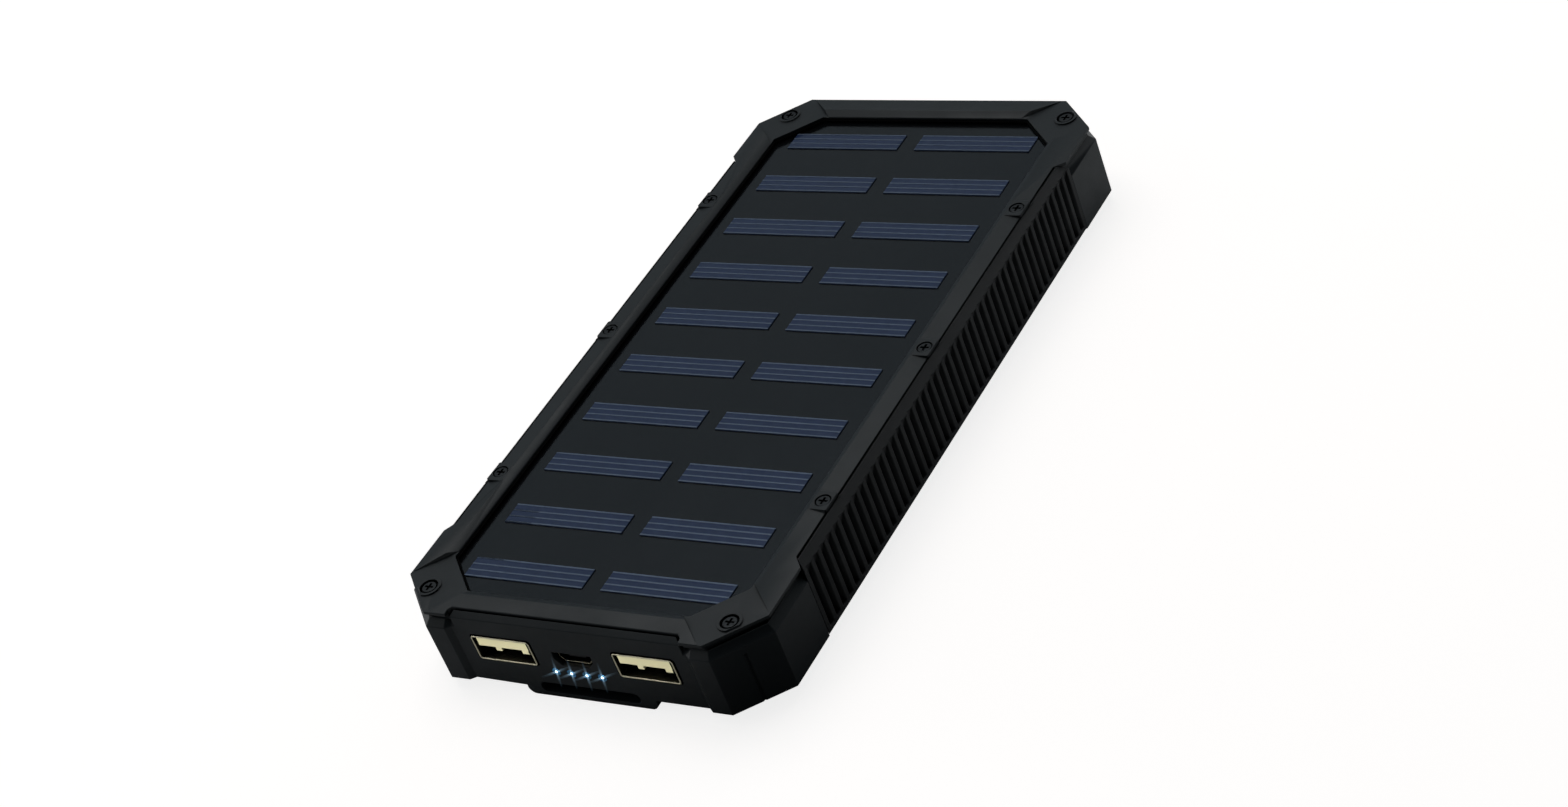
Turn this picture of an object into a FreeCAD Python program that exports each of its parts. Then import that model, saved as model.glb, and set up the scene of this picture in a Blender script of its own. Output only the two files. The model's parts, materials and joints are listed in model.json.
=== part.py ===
import FreeCAD, Part
import math
import os

os.makedirs("parts", exist_ok=True)

V = FreeCAD.Vector

# Solar phone charger, all sizes in mm.
# Origin: centre of the resting plane. +Z up through the solar panel, -Y towards the sockets,
# -X towards the power button.

# ---------------------------------------------------------------- driving sizes
CASE_W = 80.0            # across the side grips
CASE_L = 162.2           # along the long side
CORNER = 8.8             # 45 degree cut on each corner
BACK_RISE = 2.1          # raised lamp bezel under the main floor
FOOT = 0.15              # chamfer round the bottom edge
FLOOR = 2.3              # floor thickness
SHOULDER = 15.1          # top of the full-width case wall, where its sloping shoulder starts
RIM = 16.6               # joint plane between back cover and top frame
FRAME_IN = 0.4           # the frame stands this far inside the cover's outline
GROOVE = 0.9             # shadow groove under the frame's lip
LIP = 17.9               # underside of the frame's overhanging lip
EDGE = 18.5              # outer edge of the frame, and its level corners
CREST = 19.35            # ridge around the panel
PANEL = 17.75            # surface of the solar laminate

WINDOW_W = 65.5          # frame opening
WINDOW_L = 148.3
WINDOW_CUT = 8.2
WINDOW_Z = EDGE          # the frame's inner edge is level with its outer edge
CREST_OUT = 1.55         # from the opening out to the ridge
MITRE_GAP = 1.0          # level corners reach this far past the opening's corner points
CAVITY_W = 68.8          # room inside the back cover
CAVITY_L = 155.8
CAVITY_SUM = 101.5       # |x| + |y| on the cavity's corner cuts

GRIP_IN = 37.75          # inner face of the side grips
GRIP_END = 57.4          # grip ends at the top, and flares to
GRIP_FLARE = 59.6
GRIP_FOOT = 2.4          # lower edge of the side grips
RIB_FOOT = 1.0           # smooth strip under the ribs
RIB_PITCH = 2.62
RIB_COUNT = 22           # valleys each way from the middle one
RIB_DEPTH = 1.1
RIB_RUNOUT = 2.75        # slope of the valleys' upper ends

PORT_Y = -80.25          # recessed socket face
PORT_HALF = 25.9         # half width of the socket face
PORT_WALL = 1.1          # width of the slanted walls beside it
BOSS_HALF = 25.2         # half width of the part rising into the frame
BOSS_TOP = 18.5
BOSS_CORNER = 0.7        # cut on its back corners, seen from above
NOTCH_Y = -78.9          # front edge of the frame above the sockets
WALL = 2.5               # socket wall

USB_X = 15.72
USB_W = 13.1
USB_H = 5.7
USB_D = 14.0
USB_Z = 10.55
MICRO_X = -0.55
MICRO_Z = 9.9
LED_PITCH = 3.4
LED_X = -0.65
LED_Z = 6.55

SCREW_X = 36.15          # side screws
SCREW_YS = (-43.3, 0.0, 43.3)
CORNER_SCREW = (33.15, 74.5)
HEAD_R = 1.5
HEAD_H = 0.7
SHANK_R = 0.95
SIDE_BORE = 1.6          # counterbores for the heads
CORNER_BORE = 1.85
SEAT = 0.8               # depth of the head's seat below its platform
CORNER_PAD = 18.8        # level of the corner screw platforms
PAD_OUT = 38.0           # outer face of the side screw platforms
PAD_HALF = 2.5

STRIP_ROWS = 10
STRIP_PITCH = 14.87
STRIP_H = 5.05
STRIP_X = (2.06, 28.83)

BOARD_Z = 7.0            # underside of the main board
BOARD_T = 1.6
LAMP_Y = 6.0             # centre of the lamp
LAMP_W = 50.0
LAMP_L = 92.0

CELL_Z = 6.0
CELL_T = 9.6
CELL_Y = (-50.0, 66.0)
CELL_W = 33.2

BUTTON_Y = -64.8
BUTTON_Z = 10.4
TRAVEL = 0.3

# ---------------------------------------------------------------- derived sizes
HALF_W = CASE_W / 2
SHOULDER_IN = FRAME_IN + GROOVE
HALF_L = CASE_L / 2
CORNER_SUM = HALF_W + HALF_L - CORNER
FRAME_W = HALF_W - FRAME_IN
FRAME_L = HALF_L - FRAME_IN
FRAME_SUM = CORNER_SUM - 1.0
WINDOW_SUM = (WINDOW_W + WINDOW_L) / 2 - WINDOW_CUT
FLOOR_TOP = BACK_RISE + FLOOR
BOARD_TOP = BOARD_Z + BOARD_T
MIRRORS = ((1, 1), (-1, 1), (-1, -1), (1, -1))
ROOT2 = math.sqrt(2)


# ---------------------------------------------------------------- helpers
def box(x0, x1, y0, y1, z0, z1):
    return Part.makeBox(x1 - x0, y1 - y0, z1 - z0, V(x0, y0, z0))


def rod(x, y, z0, z1, r):
    return Part.makeCylinder(r, z1 - z0, V(x, y, z0))


def wire(points, z):
    corners = [V(x, y, z) for x, y in points]
    return Part.makePolygon(corners + [corners[0]])


def prism(points, z0, z1):
    return Part.Face(wire(points, z0)).extrude(V(0, 0, z1 - z0))


def taper(low, z0, high, z1):
    return Part.makeLoft([wire(low, z0), wire(high, z1)], True, True)


def octagon(hx, hy, total, y=0.0):
    """Corner-cut rectangle: half sizes, and |x| + |y| on its cut corners."""
    quarter = [(hx, total - hx), (total - hy, hy)]
    points = []
    for sx, sy in MIRRORS:
        ring = quarter if sx * sy > 0 else quarter[::-1]
        points += [(sx * px, y + sy * py) for px, py in ring]
    return points


def rounded(x0, x1, y0, y1, z0, z1, r):
    """Box with its four upright edges rounded."""
    block = box(x0, x1, y0, y1, z0, z1)
    upright = [e for e in block.Edges if abs(e.tangentAt(e.FirstParameter).z) > 0.99]
    return block.makeFillet(r, upright)


def rounded_y(x0, x1, y0, y1, z0, z1, r):
    """Box with its four edges along Y rounded."""
    block = box(x0, x1, y0, y1, z0, z1)
    along = [e for e in block.Edges if abs(e.tangentAt(e.FirstParameter).y) > 0.99]
    return block.makeFillet(r, along)


def along_y(points):
    """Bar along Y, given its outline in x and z."""
    corners = [V(x, -CASE_L, z) for x, z in points]
    return Part.Face(Part.makePolygon(corners + [corners[0]])).extrude(V(0, 2 * CASE_L, 0))


def above(point, normal):
    """Everything on the normal's side of a plane."""
    block = Part.makeBox(300, 300, 100, V(-150, -150, 0))
    block.Placement = FreeCAD.Placement(V(*point), FreeCAD.Rotation(V(0, 0, 1), V(*normal)))
    return block


def join(shapes):
    out = shapes[0]
    if len(shapes) > 1:
        out = shapes[0].fuse(shapes[1:])
    return out.removeSplitter()


def cut(shape, tools):
    return shape.cut(Part.makeCompound(tools))


def group(shapes):
    solids = []
    for shape in shapes:
        solids += shape.Solids
    return Part.makeCompound(solids)


def lead(points, r, last):
    """Round lead through the given points, leaving upwards and arriving up or down (last = 1 or -1)."""
    curve = Part.BSplineCurve()
    curve.interpolate(Points=[V(*p) for p in points], InitialTangent=V(0, 0, 1), FinalTangent=V(0, 0, last))
    path = Part.Wire(curve.toShape())
    ring = Part.Wire(Part.makeCircle(r, V(*points[0]), V(0, 0, 1)))
    return path.makePipeShell([ring], True, False)


def save(name, shape):
    solids = shape.Solids
    if len(solids) == 1:
        shape = solids[0]
    for solid in solids:
        if not solid.isValid():
            print("invalid solid in", name)
    shape.exportStep("parts/" + name + ".step")


def mirrored(points):
    """Close an outline given for +X from the far end to the socket end."""
    return points + [(-x, y) for x, y in reversed(points)]


# ---------------------------------------------------------------- side grips
def grip_outline(x_out, slack):
    end = GRIP_END - slack
    flare = GRIP_FLARE - slack
    return [(GRIP_IN, -end), (x_out, -flare), (x_out, flare), (GRIP_IN, end)]


GRIP_PEGS = (-52.0, -22.0, 22.0, 52.0)
PEG_Z = 9.0
PEG_R = 1.5


def side_grip():
    """Rubber strip on the +X side: smooth upper strip, upright ribs, four moulded pegs."""
    top = EDGE + 0.2
    body = prism(grip_outline(HALF_W, 0.0), GRIP_FOOT, top)
    tools = [along_y([(GRIP_IN + 0.5, top + 0.01), (HALF_W + 0.01, RIM + 0.6), (HALF_W + 0.01, top + 0.01)])]
    tools.append(along_y([(HALF_W - FOOT, GRIP_FOOT - 0.01), (HALF_W + 0.01, GRIP_FOOT - 0.01),
                          (HALF_W + 0.01, GRIP_FOOT + FOOT)]))
    # narrow seam against the frame
    tools.append(box(GRIP_IN - 0.1, GRIP_IN + 0.3, -70, 70, top - 0.6, top + 1))
    valleys = []
    for i in range(-RIB_COUNT, RIB_COUNT + 1):
        y = i * RIB_PITCH
        outline = [(HALF_W + 0.01, y - 0.75), (HALF_W - RIB_DEPTH, y - 0.45),
                   (HALF_W - RIB_DEPTH, y + 0.45), (HALF_W + 0.01, y + 0.75)]
        valleys.append(prism(outline, GRIP_FOOT + RIB_FOOT, top))
    # the valleys run out to the surface below the smooth upper strip
    run_out = above((HALF_W, 0, RIM + 1.4), (-RIB_RUNOUT, 0, 1))
    tools.append(Part.makeCompound(valleys).cut(run_out))
    for y in SCREW_YS:
        tools.append(box(GRIP_IN - 0.1, PAD_OUT + 0.25, y - PAD_HALF - 0.25, y + PAD_HALF + 0.25, LIP - 0.3, top + 1))
    body = cut(body, tools)
    pegs = [Part.makeCylinder(PEG_R, 1.3, V(GRIP_IN - 1.2, y, PEG_Z), V(1, 0, 0)) for y in GRIP_PEGS]
    return join([body] + pegs)


# ---------------------------------------------------------------- back cover
def case_outline(inset):
    """Outline with grip recesses, corner bumpers and the recessed socket face."""
    side = HALF_W - inset
    far = HALF_L - inset
    total = CORNER_SUM - inset * ROOT2
    inner = min(GRIP_IN, side)
    points = [(total - far, far), (side, total - side)]
    points += [(side, GRIP_FLARE), (inner, GRIP_END), (inner, -GRIP_END), (side, -GRIP_FLARE)]
    points += [(side, side - total), (total - far, -far)]
    points += [(PORT_HALF + PORT_WALL, -far), (PORT_HALF, PORT_Y + inset)]
    return mirrored(points)


def usb_window(x, grow):
    w = USB_W / 2 + grow
    h = USB_H / 2 + grow
    return rounded_y(x - w, x + w, PORT_Y - 1, PORT_Y + WALL + 1, USB_Z - h, USB_Z + h, 0.8)


def micro_window():
    """Opening for the small charging plug: wide above, narrow below."""
    corners = [(-4.3, 1.65), (4.3, 1.65), (4.3, 0.1), (3.0, -1.45), (-3.0, -1.45), (-4.3, 0.1)]
    points = [V(MICRO_X + x, PORT_Y - 1, MICRO_Z + z) for x, z in corners]
    face = Part.Face(Part.makePolygon(points + [points[0]]))
    return face.extrude(V(0, WALL + 2, 0))


def led_xs():
    return [LED_X + (i - 1.5) * LED_PITCH for i in range(4)]


def screw_spots():
    spots = [(sx * CORNER_SCREW[0], sy * CORNER_SCREW[1], CORNER_PAD) for sx, sy in MIRRORS]
    spots += [(sx * SCREW_X, y, CREST) for sx in (1, -1) for y in SCREW_YS]
    return spots


NECK_HALF = 14.4
LAMP_BOARD = (30.0, 50.5)       # half sizes
LAMP_SCREWS = [(sx * 28.3, LAMP_Y + sy * 48.7) for sx, sy in MIRRORS]
BOARD_SCREWS = [(-27.5, -58.8), (27.5, -58.8), (1.5, -64.5)]
LENS_CORNER = 6.0


def lamp_block(grow, z0, z1):
    hx = LAMP_W / 2 + grow
    hy = LAMP_L / 2 + grow
    return prism(octagon(hx, hy, hx + hy - LENS_CORNER, LAMP_Y), z0, z1)


def back_cover():
    shell = [
        taper(case_outline(FOOT), BACK_RISE, case_outline(0.0), BACK_RISE + FOOT),
        prism(case_outline(0.0), BACK_RISE + FOOT, SHOULDER),
        taper(case_outline(0.0), SHOULDER, case_outline(SHOULDER_IN), SHOULDER + SHOULDER_IN),
        prism(case_outline(SHOULDER_IN), SHOULDER + SHOULDER_IN, RIM),
    ]
    # raised bezel round the lamp, with a neck out to the socket end
    bezel_low = octagon(32.0, 55.0, 32.0 + 55.0 - 8.0, LAMP_Y)
    bezel_high = octagon(33.5, 56.5, 33.5 + 56.5 - 8.6, LAMP_Y)
    shell.append(taper(bezel_low, 0.0, bezel_high, BACK_RISE + 0.1))
    neck = rounded_y(-NECK_HALF, NECK_HALF, PORT_Y, -40.0, 0.0, BACK_RISE + 4.0, 1.6)
    shell.append(neck.common(box(-20, 20, PORT_Y, -40, 0, BACK_RISE + 1.0)))
    # boss standing up into the frame's notch
    back = NOTCH_Y - 0.3
    plan = mirrored([(BOSS_HALF - BOSS_CORNER, back), (BOSS_HALF, back - BOSS_CORNER), (BOSS_HALF, PORT_Y)])
    boss = prism(plan, RIM - 2.0, BOSS_TOP)
    shell.append(box(-BOSS_HALF, BOSS_HALF, PORT_Y + 0.5, NOTCH_Y + 0.3, RIM - 2.0, RIM))
    ramp = Part.Face(Part.makePolygon([
        V(-30, PORT_Y - 0.01, BOSS_TOP - 1.1), V(-30, PORT_Y - 0.01, BOSS_TOP + 0.01),
        V(-30, PORT_Y + 1.1, BOSS_TOP + 0.01), V(-30, PORT_Y - 0.01, BOSS_TOP - 1.1)]))
    shell.append(boss.cut(ramp.extrude(V(60, 0, 0))))
    body = join(shell)

    tools = [prism(octagon(CAVITY_W / 2, CAVITY_L / 2, CAVITY_SUM), FLOOR_TOP, RIM + 0.1)]
    # groove for the sealing cord
    outer = prism(octagon(CAVITY_W / 2 + 0.7, CAVITY_L / 2 + 0.7, CAVITY_SUM + 1.0), RIM - 0.8, RIM + 0.1)
    inner = prism(octagon(CAVITY_W / 2 + 0.2, CAVITY_L / 2 + 0.2, CAVITY_SUM + 0.3), RIM - 0.9, RIM + 0.2)
    tools.append(outer.cut(inner))
    # lamp window with a ledge for the lens flange
    tools.append(lamp_block(0.0, -0.1, 1.7))
    tools.append(lamp_block(2.0, 1.7, FLOOR_TOP + 0.1))
    # sockets, indicator lights
    for x in (-USB_X, USB_X):
        tools.append(usb_window(x, 0.3))
    tools.append(micro_window())
    for x in led_xs():
        tools.append(Part.makeCylinder(0.95, WALL + 2, V(x, PORT_Y - 1, LED_Z), V(0, 1, 0)))
    # strap slot through the neck's front edge, open underneath behind the bar
    tools.append(rounded_y(-11.0, 11.0, PORT_Y - 1, -72.0, 1.0, 3.3, 1.1))
    tools.append(box(-11.0, 11.0, -76.4, -72.0, -1.0, 2.2))
    # power button opening and its inner pocket
    tools.append(button_block(0.08, -HALF_W - 1, -30.0))
    tools.append(box(-CAVITY_W / 2, -29.0, BUTTON_Y - 5.2, BUTTON_Y + 5.2, BOARD_TOP - 1.8, 13.2))
    dish = Part.makeCone(4.6, 4.1, 0.4, V(-HALF_W - 0.01, BUTTON_Y, BUTTON_Z), V(1, 0, 0))
    tools.append(dish)
    # screw pilots and grip peg holes
    for x, y, top in screw_spots():
        tools.append(rod(x, y, top - SEAT - 9.2, RIM + 1, SHANK_R))
    for x, y in LAMP_SCREWS:
        tools.append(rod(x, y, FLOOR_TOP - 2.1, FLOOR_TOP + 1, 0.6))
    for side in (-1, 1):
        for y in GRIP_PEGS:
            tools.append(Part.makeCylinder(PEG_R, 2.0, V(side * (GRIP_IN - 1.25), y, PEG_Z), V(side, 0, 0)))
    # upright groove in the middle of each corner
    for sx, sy in MIRRORS:
        mid = V(sx * (HALF_W - CORNER / 2), sy * (HALF_L - CORNER / 2), 0)
        out = V(sx, sy, 0) * (1 / ROOT2)
        along = V(-sy, sx, 0) * (1 / ROOT2)
        corners = [mid + out * 0.3 + along * 0.7, mid - out * 0.45, mid + out * 0.3 - along * 0.7]
        face = Part.Face(Part.makePolygon([c + V(0, 0, BACK_RISE - 0.1) for c in corners + [corners[0]]]))
        tools.append(face.extrude(V(0, 0, 11.5)))
    body = cut(body, tools)

    # board posts
    posts = [rod(x, y, FLOOR_TOP - 0.1, BOARD_Z, 2.4) for x, y in BOARD_SCREWS]
    body = join([body] + posts)
    return cut(body, [rod(x, y, FLOOR_TOP, BOARD_Z + 1, 0.8) for x, y in BOARD_SCREWS])


# ---------------------------------------------------------------- top frame
def rim_outline(inset):
    """The frame's outline from above, with grip recesses and the notch over the sockets."""
    side = FRAME_W - inset
    far = FRAME_L - inset
    total = FRAME_SUM - inset * ROOT2
    notch = BOSS_HALF + 0.4
    points = [(total - far, far), (side, total - side)]
    points += [(side, GRIP_FLARE), (GRIP_IN, GRIP_END), (GRIP_IN, -GRIP_END), (side, -GRIP_FLARE)]
    points += [(side, side - total), (total - far, -far)]
    points += [(notch, -far), (notch, NOTCH_Y - BOSS_CORNER), (notch - BOSS_CORNER, NOTCH_Y)]
    return mirrored(points)


def ridge_bar(half_opening, half_frame, mitre):
    """Ridge along the +X side of an opening, ending in walls square to the opening's corner cuts."""
    profile = [(half_opening - 0.1, LIP + 0.1), (half_opening - 0.1, WINDOW_Z - 0.1 * RIDGE_IN),
               (half_opening + CREST_OUT, CREST), (half_frame, EDGE), (half_frame, LIP + 0.1)]
    reach = half_frame + 1 - half_opening
    plan = [(half_opening - 1, mitre - 1), (half_opening + reach, mitre + reach),
            (half_opening + reach, -mitre - reach), (half_opening - 1, 1 - mitre)]
    return along_y(profile).common(prism(plan, LIP, CREST + 1))


RIDGE_IN = (CREST - WINDOW_Z) / CREST_OUT


def top_frame():
    skirt = prism(rim_outline(GROOVE), RIM, LIP + 0.01)
    plate = prism(rim_outline(0.0), LIP, EDGE)
    half_w, half_l = WINDOW_W / 2, WINDOW_L / 2
    side_bar = ridge_bar(half_w, FRAME_W, WINDOW_SUM - half_w - MITRE_GAP * ROOT2)
    end_bar = ridge_bar(half_l, FRAME_L, WINDOW_SUM - half_l - MITRE_GAP * ROOT2)
    bars = []
    for bar, angles in ((side_bar, (0, 180)), (end_bar, (90, 270))):
        for angle in angles:
            turned = bar.copy()
            turned.rotate(V(0, 0, 0), V(0, 0, 1), angle)
            bars.append(turned)
    limit = prism(rim_outline(0.0), LIP, CREST + 1)
    pieces = [skirt, plate] + [bar.common(limit) for bar in bars]
    # level pads under the screw heads
    for sx in (1, -1):
        for y in SCREW_YS:
            pad = rounded(half_w + CREST_OUT, PAD_OUT, y - PAD_HALF, y + PAD_HALF, LIP, CREST, 0.4)
            pieces.append(pad if sx > 0 else pad.mirror(V(0, 0, 0), V(1, 0, 0)))
    for sx, sy in MIRRORS:
        x, y = sx * CORNER_SCREW[0], sy * CORNER_SCREW[1]
        flat = (CORNER_BORE + 0.2) / ROOT2
        pad = rod(x, y, LIP, CORNER_PAD, CORNER_BORE + 0.5)
        pieces.append(pad.cut(above((x + sx * flat, y + sy * flat, 0), (sx, sy, 0))))
    frame = join(pieces)

    tools = [prism(octagon(half_w, half_l, WINDOW_SUM), RIM - 1, CREST + 1)]
    tools.append(prism(octagon(*PANEL_POCKET), RIM - 1, PANEL + 0.15))
    for x, y, top in screw_spots():
        bore = SIDE_BORE if top == CREST else CORNER_BORE
        tools.append(rod(x, y, RIM - 1, CREST + 1, SHANK_R + 0.1))
        tools.append(rod(x, y, top - SEAT, CREST + 1, bore))
    return cut(frame, tools)


# ---------------------------------------------------------------- screws
def screw(x, y, seat, length, r_shank, r_head, h_head):
    """Pan head with a cross recess, tip pointing down."""
    head = rod(x, y, seat, seat + h_head, r_head)
    rim = [e for e in head.Edges if abs(e.BoundBox.ZMin - seat - h_head) < 1e-6 and e.BoundBox.ZLength < 1e-6]
    head = head.makeFillet(h_head * 0.4, rim)
    shank = rod(x, y, seat - length + 0.8, seat + 0.01, r_shank)
    tip = Part.makeCone(r_shank * 0.25, r_shank, 0.8, V(x, y, seat - length), V(0, 0, 1))
    w = r_head * 0.16
    span = r_head * 0.62
    top = seat + h_head
    bars = [box(x - span, x + span, y - w, y + w, top - h_head * 0.6, top + 0.1),
            box(x - w, x + w, y - span, y + span, top - h_head * 0.6, top + 0.1)]
    return cut(join([head, shank, tip]), bars)


# ---------------------------------------------------------------- power button
def button_block(grow, x0, x1):
    y, z = BUTTON_Y, BUTTON_Z
    block = box(x0, x1, y - 3.5 - grow, y + 3.5 + grow, z - 1.8 - grow, z + 1.8 + grow)
    along = [e for e in block.Edges if abs(e.tangentAt(e.FirstParameter).x) > 0.99]
    return block.makeFillet(1.4, along)


SWITCH_X = -32.2         # face of the switch body
PLUNGER_R = 1.0
SWITCH_Z = BUTTON_Z


def power_button():
    cap = button_block(0.0, -HALF_W + 0.15, -CAVITY_W / 2 + 0.2)
    front = [e for e in cap.Edges if e.BoundBox.XMax < -HALF_W + 0.2]
    cap = cap.makeFillet(0.35, front)
    inner = -CAVITY_W / 2 + 0.05
    flange = box(inner, inner + 0.95, BUTTON_Y - 4.7, BUTTON_Y + 4.7, BUTTON_Z - 1.6, BUTTON_Z + 1.6)
    return join([cap, flange])


def switch_plunger():
    start = -CAVITY_W / 2 + 1.02
    return Part.makeCylinder(PLUNGER_R, SWITCH_X + 0.9 - start, V(start, BUTTON_Y, SWITCH_Z), V(1, 0, 0))


def switch_body():
    block = box(SWITCH_X, SWITCH_X + 3.5, BUTTON_Y - 3.0, BUTTON_Y + 3.0, BOARD_TOP, BOARD_TOP + 3.6)
    bore = Part.makeCylinder(PLUNGER_R + 0.06, 1.5, V(SWITCH_X - 0.1, BUTTON_Y, SWITCH_Z), V(1, 0, 0))
    return block.cut(bore)


# ---------------------------------------------------------------- solar panel
def strips():
    out = []
    for row in range(STRIP_ROWS):
        y = (row - (STRIP_ROWS - 1) / 2) * STRIP_PITCH
        for side in (-1, 1):
            xs = sorted((side * STRIP_X[0], side * STRIP_X[1]))
            out.append((xs[0], xs[1], y - STRIP_H / 2, y + STRIP_H / 2))
    return out


PANEL_OUT = (33.4, 74.8, 98.5)          # laminate: half sizes, and |x| + |y| on its corners
PANEL_POCKET = (33.55, 74.95, 98.68)
BEAD = 0.3                              # visible width of the sealing bead


def panel_layers():
    cells = []
    lines = []
    for x0, x1, y0, y1 in strips():
        cells.append(box(x0, x1, y0, y1, PANEL - 0.5, PANEL - 0.3))
        for k in range(4):
            y = y0 + 0.18 + k * (y1 - y0 - 0.36) / 3
            lines.append(box(x0, x1, y - 0.16, y + 0.16, PANEL - 0.3, PANEL - 0.25))
    board = prism(octagon(*PANEL_OUT), RIM, PANEL - 0.5)
    sheet = prism(octagon(*PANEL_OUT), PANEL - 0.25, PANEL)
    save("solar_cells", group(cells))
    save("cell_gridlines", group(lines))
    save("solar_board", board)
    save("solar_laminate", sheet)
    ring = prism(octagon(*PANEL_OUT), PANEL, PANEL + 0.15)
    bead_w, bead_l = WINDOW_W / 2 - BEAD, WINDOW_L / 2 - BEAD
    hole = prism(octagon(bead_w, bead_l, WINDOW_SUM - 0.5), PANEL - 1, PANEL + 1)
    save("panel_adhesive", ring.cut(hole))


# ---------------------------------------------------------------- battery
def cell(side):
    inner = 0.3
    xs = sorted((side * inner, side * (inner + CELL_W)))
    y0, y1 = CELL_Y
    pouch = box(xs[0], xs[1], y0 + 2.0, y1, CELL_Z, CELL_Z + CELL_T)
    long_edges = [e for e in pouch.Edges if abs(e.tangentAt(e.FirstParameter).y) > 0.99]
    pouch = pouch.makeFillet(1.5, long_edges)
    mid = CELL_Z + CELL_T / 2
    terrace = box(xs[0] + 1.0, xs[1] - 1.0, y0, y0 + 2.1, mid - 0.4, mid + 0.4)
    return join([pouch, terrace])


def tabs():
    mid = CELL_Z + CELL_T / 2
    out = []
    for side in (-1, 1):
        for offset in (8.0, 25.0):
            x = side * offset
            out.append(box(x - 2.5, x + 2.5, CELL_Y[0] - 4.2, CELL_Y[0], mid - 0.05, mid + 0.05))
    return out


GUARD_Z = CELL_Z + CELL_T / 2 + 0.05

# ---------------------------------------------------------------- main board
USB_FRONT = PORT_Y - 0.2


def main_board():
    points = []
    for sx, sy in MIRRORS:
        if sy > 0:
            corner = [(sx * 33.8, -55.5)]
        else:
            corner = [(sx * 33.8, -67.4), (sx * 23.7, -77.5)]
            corner = corner if sx < 0 else corner[::-1]
        points += corner
    board = prism(points, BOARD_Z, BOARD_TOP)
    tools = []
    for x in (-USB_X, USB_X):
        w = USB_W / 2 + 0.05
        tools.append(box(x - w, x + w, -78, USB_FRONT + USB_D + 0.05, BOARD_Z - 1, BOARD_TOP + 1))
    for x, y in BOARD_SCREWS:
        tools.append(rod(x, y, BOARD_Z - 1, BOARD_TOP + 1, 1.1))
    return cut(board, tools)


def usb_shell(x):
    """Folded steel shell with a closed back, two board tabs and pressed contact springs."""
    w, h = USB_W / 2, USB_H / 2
    y0, y1 = USB_FRONT, USB_FRONT + USB_D
    body = rounded_y(x - w, x + w, y0, y1, USB_Z - h, USB_Z + h, 0.6)
    room = rounded_y(x - w + 0.3, x + w - 0.3, y0 - 1, y1 - 0.3, USB_Z - h + 0.3, USB_Z + h - 0.3, 0.3)
    windows = [box(x + s * 3.4 - 1.0, x + s * 3.4 + 1.0, y0 + 4.0, y0 + 9.0, USB_Z + h - 0.5, USB_Z + h + 1)
               for s in (-1, 1)]
    body = cut(body, [room] + windows)
    tabs_ = []
    for s in (-1, 1):
        xs = sorted((x + s * (w - 0.1), x + s * (w + 1.3)))
        tabs_.append(box(xs[0], xs[1], y1 - 5.0, y1 - 2.4, BOARD_TOP, BOARD_TOP + 0.3))
    for s in (-1, 1):
        leaf = box(x + s * 3.4 - 0.8, x + s * 3.4 + 0.8, y0 + 4.0, y0 + 8.4, USB_Z + h - 0.42, USB_Z + h - 0.12)
        root = box(x + s * 3.4 - 0.8, x + s * 3.4 + 0.8, y0 + 3.6, y0 + 4.6, USB_Z + h - 0.42, USB_Z + h - 0.05)
        tabs_ += [leaf, root]
    return join([body] + tabs_)


TONGUE_TOP = USB_Z + USB_H / 2 - 0.62
TONGUE_T = 1.84
TONGUE_IN = 0.3          # from the shell's front edge back to the tongue
LUGS = ((-1.95, -0.65), (4.0, 5.5))     # small feet under the tongue's front edge


def usb_insert(x):
    w = USB_W / 2 - 0.3
    y1 = USB_FRONT + USB_D - 0.3
    block = rounded_y(x - w, x + w, y1 - 1.8, y1, USB_Z - USB_H / 2 + 0.3, USB_Z + USB_H / 2 - 0.42, 0.3)
    low = TONGUE_TOP - TONGUE_T
    tongue = box(x - 5.6, x + 5.6, USB_FRONT + TONGUE_IN, y1 - 1.7, low, TONGUE_TOP)
    lugs = [box(x + a, x + b, USB_FRONT + TONGUE_IN, USB_FRONT + 1.2, low - 0.85, low + 0.1) for a, b in LUGS]
    return join([block, tongue] + lugs)


def usb_contacts(x):
    out = []
    low = TONGUE_TOP - TONGUE_T
    for offset in (-3.5, -1.0, 1.0, 3.5):
        out.append(box(x + offset - 0.5, x + offset + 0.5, USB_FRONT + 1.6, USB_FRONT + 11.6, low - 0.2, low))
    return out


MICRO_FRONT = PORT_Y + 1.0
MICRO_PROFILE = [(-3.75, 1.2), (3.75, 1.2), (3.75, -0.2), (2.75, -1.25), (-2.75, -1.25), (-3.75, -0.2)]


def micro_prism(scale_x, scale_z, y0, y1):
    points = [V(MICRO_X + x * scale_x, y0, MICRO_Z + z * scale_z) for x, z in MICRO_PROFILE]
    return Part.Face(Part.makePolygon(points + [points[0]])).extrude(V(0, y1 - y0, 0))


def micro_shell():
    y1 = MICRO_FRONT + 5.6
    body = micro_prism(1, 1, MICRO_FRONT, y1).cut(micro_prism(0.93, 0.8, MICRO_FRONT - 1, y1 - 0.25))
    feet = [box(MICRO_X + s * 3.6 - 0.15, MICRO_X + s * 3.6 + 0.15, y1 - 3.0, y1 - 1.4,
                BOARD_TOP, MICRO_Z - 0.2) for s in (-1, 1)]
    return join([body] + feet)


def micro_insert():
    y1 = MICRO_FRONT + 5.35
    block = micro_prism(0.93, 0.8, y1 - 1.4, y1)
    tongue = box(MICRO_X - 1.85, MICRO_X + 1.85, MICRO_FRONT + 0.5, y1 - 1.3, MICRO_Z - 0.3, MICRO_Z + 0.3)
    return join([block, tongue])


# ---------------------------------------------------------------- lamp
LAMP_COLS = 4
LAMP_ROWS = 6


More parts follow.
